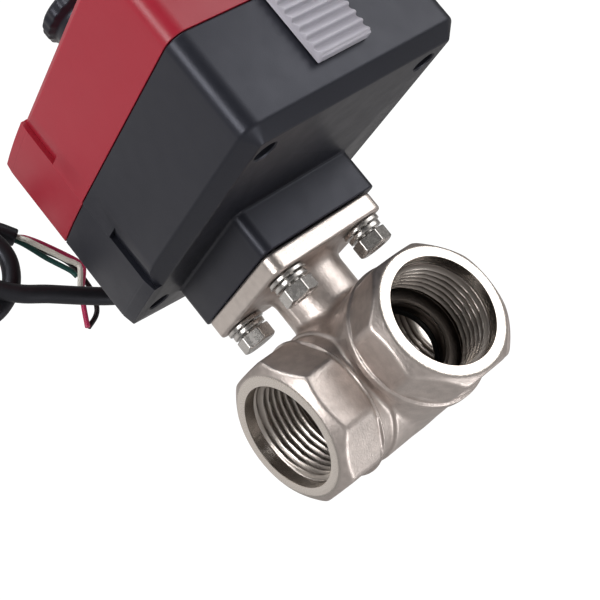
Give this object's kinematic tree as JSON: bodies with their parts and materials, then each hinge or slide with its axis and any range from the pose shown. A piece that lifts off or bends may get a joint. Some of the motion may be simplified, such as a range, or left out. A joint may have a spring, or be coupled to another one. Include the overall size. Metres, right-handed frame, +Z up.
{
  "type": "motorized valve actuator",
  "caption": "Three-way ball valve in nickel-plated brass with a bolted electric actuator, side slide switch, top knob and coiled lead.",
  "frame": {"origin": "on the ground plane under the middle of the whole object's bounding box; the ball centre, where the stem axis crosses the plane of the three port axes, is at (0.013955, 0.001805, 0.0173)", "axes": "+Z up the stem to the actuator; -Y out of the branch port, the actuator's slide-switch side; -X and +X out of the two run ports"},
  "size_m": [0.0924, 0.1196, 0.1345],
  "materials": {
    "nickel_plated_brass": "bead-blasted nickel plate with bright turned end faces",
    "zinc_plated_steel": "bright zinc plate",
    "polished_ball": "polished",
    "white_ptfe": "smooth",
    "carbon_filled_ptfe": "smooth, carbon filled",
    "black_abs": "fine satin moulding",
    "red_abs": "fine satin moulding",
    "grey_abs": "ribbed, satin",
    "black_rubber": "soft matte",
    "natural_acetal": "smooth",
    "circuit_board": "solder mask",
    "wire_red": "PVC insulation",
    "wire_white": "PVC insulation",
    "wire_green": "PVC insulation",
    "wire_black": "PVC insulation"
  },
  "bodies": {
    "housing": {"valve_body": "nickel_plated_brass", "end_connector_left": "nickel_plated_brass", "end_connector_right": "nickel_plated_brass", "seat_left": "carbon_filled_ptfe", "seat_right": "carbon_filled_ptfe", "seat_branch": "carbon_filled_ptfe", "stem_thrust_washer": "white_ptfe", "gear_base_plate": "zinc_plated_steel", "gear_top_plate": "zinc_plated_steel", "motor": "zinc_plated_steel", "third_gear_pin": "zinc_plated_steel", "second_gear_pin": "zinc_plated_steel", "slide_detent_spring": "zinc_plated_steel", "flange_bolt_front_left": "zinc_plated_steel", "spring_washer_front_left": "zinc_plated_steel", "flat_washer_front_left": "zinc_plated_steel", "housing_screw_front_left": "zinc_plated_steel", "flange_bolt_front_right": "zinc_plated_steel", "spring_washer_front_right": "zinc_plated_steel", "flat_washer_front_right": "zinc_plated_steel", "housing_screw_front_right": "zinc_plated_steel", "flange_bolt_rear_left": "zinc_plated_steel", "spring_washer_rear_left": "zinc_plated_steel", "flat_washer_rear_left": "zinc_plated_steel", "housing_screw_rear_left": "zinc_plated_steel", "flange_bolt_rear_right": "zinc_plated_steel", "spring_washer_rear_right": "zinc_plated_steel", "flat_washer_rear_right": "zinc_plated_steel", "housing_screw_rear_right": "zinc_plated_steel", "lower_housing": "black_abs", "limit_switch_open": "black_abs", "limit_switch_closed": "black_abs", "upper_cover": "red_abs", "stem_oring_lower": "black_rubber", "stem_oring_upper": "black_rubber", "housing_gasket": "black_rubber", "knob_oring": "black_rubber", "cable_gland": "black_rubber", "cable": "black_rubber", "shaft_bush_lower": "natural_acetal", "shaft_bush_upper": "natural_acetal", "circuit_board": "circuit_board", "wire_red": "wire_red", "wire_white": "wire_white", "wire_green": "wire_green", "wire_black": "wire_black"},
    "output": {"output_shaft": "zinc_plated_steel", "output_gear": "natural_acetal", "limit_cam": "natural_acetal", "manual_knob": "black_abs", "valve_stem": "zinc_plated_steel", "ball": "polished_ball"},
    "gear_3": {"third_gear": "natural_acetal"},
    "gear_2": {"second_gear": "natural_acetal"},
    "rotor": {"motor_pinion": "zinc_plated_steel"},
    "slide": {"slide_switch": "grey_abs", "clutch_fork": "zinc_plated_steel"}
  },
  "joints": [
    {"name": "output_turn", "type": "hinge", "parent": "housing", "child": "output", "pos_m": [0.01396, 0.0018, 0.0673], "axis": [0, 0, 1], "range_deg": [0, 90]},
    {"name": "third_gear_turn", "type": "hinge", "parent": "housing", "child": "gear_3", "pos_m": [0.02353, -0.02451, 0.0713], "axis": [0, 0, 1], "range_deg": [-330.5, 0.5]},
    {"name": "second_gear_turn", "type": "hinge", "parent": "housing", "child": "gear_2", "pos_m": [0.01059, -0.03391, 0.0763], "axis": [0, 0, 1], "range_deg": [-0.5, 990.5]},
    {"name": "rotor_turn", "type": "hinge", "parent": "housing", "child": "rotor", "pos_m": [-0.00141, -0.03391, 0.0793], "axis": [0, 0, 1], "range_deg": [-2970.5, 0.5]},
    {"name": "slide_switch_travel", "type": "slide", "parent": "housing", "child": "slide", "axis": [0, 0, 1], "range_m": [0, 0.005]}
  ],
  "couplings": [
    {"joint": "third_gear_turn", "follows": "output_turn", "ratio": -3.6667},
    {"joint": "second_gear_turn", "follows": "output_turn", "ratio": 11},
    {"joint": "rotor_turn", "follows": "output_turn", "ratio": -33}
  ]
}
